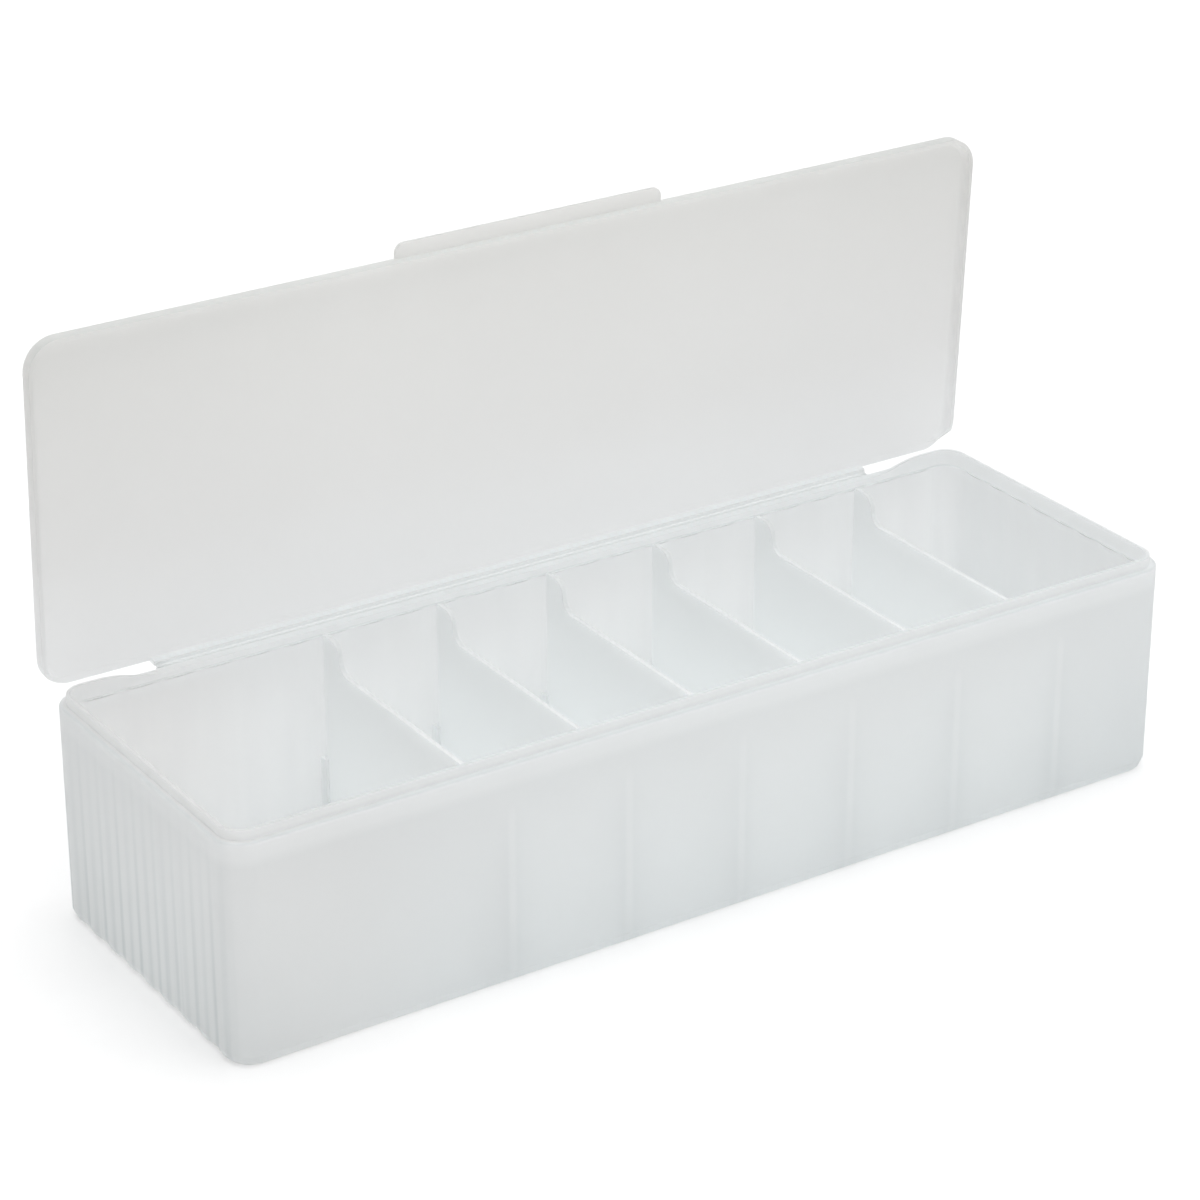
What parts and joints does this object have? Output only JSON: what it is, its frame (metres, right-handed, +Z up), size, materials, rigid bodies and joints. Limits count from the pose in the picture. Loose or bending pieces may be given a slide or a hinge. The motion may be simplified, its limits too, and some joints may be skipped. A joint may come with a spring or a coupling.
{
  "type": "cable storage box",
  "caption": "Long translucent storage box with an upright hinged lid and loose lift-out dividers for coiled cables.",
  "frame": {"origin": "middle of the tray's flat underside", "axes": "+X along the tray, +Y towards the hinge at the back, +Z up; the lid stands open at rest"},
  "size_m": [0.3266, 0.1121, 0.1825],
  "materials": {
    "tray_plastic": "frosted translucent natural polypropylene, satin",
    "lid_plastic": "frosted translucent natural polypropylene, satin",
    "hinge_plastic": "thin flexed polypropylene film",
    "divider_plastic": "frosted translucent natural polypropylene, satin"
  },
  "bodies": {
    "tray": {"tray": "tray_plastic", "living_hinge": "hinge_plastic"},
    "lid": {"lid": "lid_plastic"},
    "divider_1": {"divider_1": "divider_plastic"},
    "divider_2": {"divider_2": "divider_plastic"},
    "divider_3": {"divider_3": "divider_plastic"},
    "divider_4": {"divider_4": "divider_plastic"},
    "divider_5": {"divider_5": "divider_plastic"},
    "divider_6": {"divider_6": "divider_plastic"}
  },
  "joints": [
    {"name": "lid_hinge", "type": "hinge", "parent": "tray", "child": "lid", "pos_m": [0, 0.0543, 0.0692], "axis": [-1, 0, 0], "range_deg": [-87.3, 92.7]},
    {"name": "divider_1_lift", "type": "slide", "parent": "tray", "child": "divider_1", "axis": [0, 0, 1], "range_m": [0, 0.072]},
    {"name": "divider_2_lift", "type": "slide", "parent": "tray", "child": "divider_2", "axis": [0, 0, 1], "range_m": [0, 0.072]},
    {"name": "divider_3_lift", "type": "slide", "parent": "tray", "child": "divider_3", "axis": [0, 0, 1], "range_m": [0, 0.072]},
    {"name": "divider_4_lift", "type": "slide", "parent": "tray", "child": "divider_4", "axis": [0, 0, 1], "range_m": [0, 0.072]},
    {"name": "divider_5_lift", "type": "slide", "parent": "tray", "child": "divider_5", "axis": [0, 0, 1], "range_m": [0, 0.072]},
    {"name": "divider_6_lift", "type": "slide", "parent": "tray", "child": "divider_6", "axis": [0, 0, 1], "range_m": [0, 0.072]}
  ]
}
